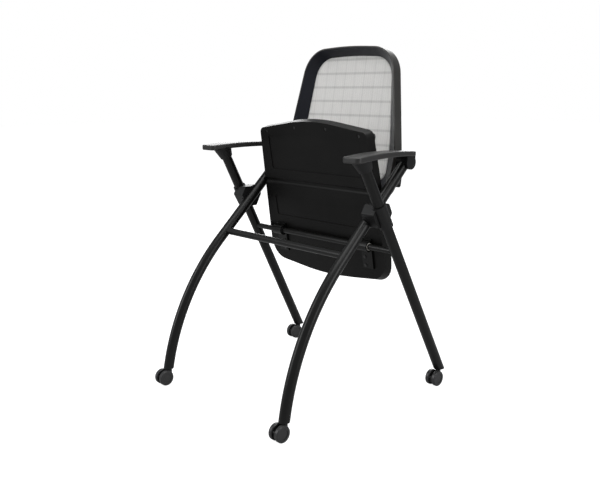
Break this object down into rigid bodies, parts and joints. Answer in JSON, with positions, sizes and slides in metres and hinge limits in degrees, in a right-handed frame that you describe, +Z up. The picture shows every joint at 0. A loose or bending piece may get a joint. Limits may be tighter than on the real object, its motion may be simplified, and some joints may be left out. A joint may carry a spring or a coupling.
{
  "type": "nesting chair",
  "caption": "Nesting chair with a flip-up padded seat, a moulded back hoop with mesh, crossed tube legs, fixed armrests and small twin-wheel casters.",
  "frame": {"origin": "on the floor, under the middle of the chair's bounding box", "axes": "+X towards the sitter's left, +Y towards the back, +Z up"},
  "size_m": [0.6064, 0.5909, 0.9177],
  "materials": {
    "frame_paint": "satin powder coat",
    "moulded_black": "moulded, fine grain",
    "armrest_black": "moulded, satin",
    "plug_black": "moulded, smooth",
    "liner_nylon": "natural nylon",
    "peg_steel": "plain",
    "back_shell": "moulded, satin",
    "mesh_weave": "open woven mesh",
    "cord_black": "matte",
    "screw_steel": "zinc plated",
    "pan_plastic": "moulded, fine grain",
    "board_wood": "plain plywood",
    "cushion_fabric": "tight woven cover over foam",
    "stem_steel": "plain",
    "caster_nylon": "moulded, smooth",
    "wheel_nylon": "moulded nylon"
  },
  "bodies": {
    "frame": {"front_leg_left": "frame_paint", "rear_leg_left": "frame_paint", "back_bracket_left": "frame_paint", "crossing_block_left": "moulded_black", "armrest_collar_left": "moulded_black", "armrest_boss_left": "moulded_black", "armrest_left": "armrest_black", "leg_plug_front_left": "plug_black", "leg_plug_rear_left": "plug_black", "front_leg_right": "frame_paint", "rear_leg_right": "frame_paint", "back_bracket_right": "frame_paint", "crossing_block_right": "moulded_black", "armrest_collar_right": "moulded_black", "armrest_boss_right": "moulded_black", "armrest_right": "armrest_black", "leg_plug_front_right": "plug_black", "leg_plug_rear_right": "plug_black", "front_crossbar": "frame_paint", "hinge_bar": "frame_paint", "crossing_pegs": "peg_steel", "back_frame": "back_shell", "back_mesh": "mesh_weave", "mesh_cord": "cord_black", "back_screws": "screw_steel", "hinge_rings": "moulded_black"},
    "seat": {"hinge_bracket_left": "frame_paint", "hinge_liner_left": "liner_nylon", "hinge_bracket_right": "frame_paint", "hinge_liner_right": "liner_nylon", "seat_screws": "screw_steel", "hinge_screws": "screw_steel", "seat_pan": "pan_plastic", "seat_board": "board_wood", "seat_cushion": "cushion_fabric"},
    "caster_front_left": {"caster_stem_front_left": "stem_steel", "caster_axle_front_left": "stem_steel", "caster_fork_front_left": "caster_nylon"},
    "wheel_front_left_a": {"wheel_front_left_a": "wheel_nylon"},
    "wheel_front_left_b": {"wheel_front_left_b": "wheel_nylon"},
    "caster_front_right": {"caster_stem_front_right": "stem_steel", "caster_axle_front_right": "stem_steel", "caster_fork_front_right": "caster_nylon"},
    "wheel_front_right_a": {"wheel_front_right_a": "wheel_nylon"},
    "wheel_front_right_b": {"wheel_front_right_b": "wheel_nylon"},
    "caster_rear_left": {"caster_stem_rear_left": "stem_steel", "caster_axle_rear_left": "stem_steel", "caster_fork_rear_left": "caster_nylon"},
    "wheel_rear_left_a": {"wheel_rear_left_a": "wheel_nylon"},
    "wheel_rear_left_b": {"wheel_rear_left_b": "wheel_nylon"},
    "caster_rear_right": {"caster_stem_rear_right": "stem_steel", "caster_axle_rear_right": "stem_steel", "caster_fork_rear_right": "caster_nylon"},
    "wheel_rear_right_a": {"wheel_rear_right_a": "wheel_nylon"},
    "wheel_rear_right_b": {"wheel_rear_right_b": "wheel_nylon"}
  },
  "joints": [
    {"name": "seat_flip", "type": "hinge", "parent": "frame", "child": "seat", "pos_m": [0, 0.09577, 0.3985], "axis": [1, 0, 0], "range_deg": [0, 80.4]},
    {"name": "swivel_front_left", "type": "hinge", "parent": "frame", "child": "caster_front_left", "pos_m": [0.24, -0.2574, 0.043], "axis": [0, 0, 1], "continuous": true},
    {"name": "roll_front_left_a", "type": "hinge", "parent": "caster_front_left", "child": "wheel_front_left_a", "pos_m": [0.24, -0.2744, 0.021], "axis": [1, 0, 0], "continuous": true},
    {"name": "roll_front_left_b", "type": "hinge", "parent": "caster_front_left", "child": "wheel_front_left_b", "pos_m": [0.24, -0.2744, 0.021], "axis": [1, 0, 0], "continuous": true},
    {"name": "swivel_front_right", "type": "hinge", "parent": "frame", "child": "caster_front_right", "pos_m": [-0.24, -0.2574, 0.043], "axis": [0, 0, 1], "continuous": true},
    {"name": "roll_front_right_a", "type": "hinge", "parent": "caster_front_right", "child": "wheel_front_right_a", "pos_m": [-0.24, -0.2744, 0.021], "axis": [1, 0, 0], "continuous": true},
    {"name": "roll_front_right_b", "type": "hinge", "parent": "caster_front_right", "child": "wheel_front_right_b", "pos_m": [-0.24, -0.2744, 0.021], "axis": [1, 0, 0], "continuous": true},
    {"name": "swivel_rear_left", "type": "hinge", "parent": "frame", "child": "caster_rear_left", "pos_m": [0.2835, 0.2761, 0.043], "axis": [0, 0, 1], "continuous": true},
    {"name": "roll_rear_left_a", "type": "hinge", "parent": "caster_rear_left", "child": "wheel_rear_left_a", "pos_m": [0.2835, 0.2591, 0.021], "axis": [1, 0, 0], "continuous": true},
    {"name": "roll_rear_left_b", "type": "hinge", "parent": "caster_rear_left", "child": "wheel_rear_left_b", "pos_m": [0.2835, 0.2591, 0.021], "axis": [1, 0, 0], "continuous": true},
    {"name": "swivel_rear_right", "type": "hinge", "parent": "frame", "child": "caster_rear_right", "pos_m": [-0.2835, 0.2761, 0.043], "axis": [0, 0, 1], "continuous": true},
    {"name": "roll_rear_right_a", "type": "hinge", "parent": "caster_rear_right", "child": "wheel_rear_right_a", "pos_m": [-0.2835, 0.2591, 0.021], "axis": [1, 0, 0], "continuous": true},
    {"name": "roll_rear_right_b", "type": "hinge", "parent": "caster_rear_right", "child": "wheel_rear_right_b", "pos_m": [-0.2835, 0.2591, 0.021], "axis": [1, 0, 0], "continuous": true}
  ]
}
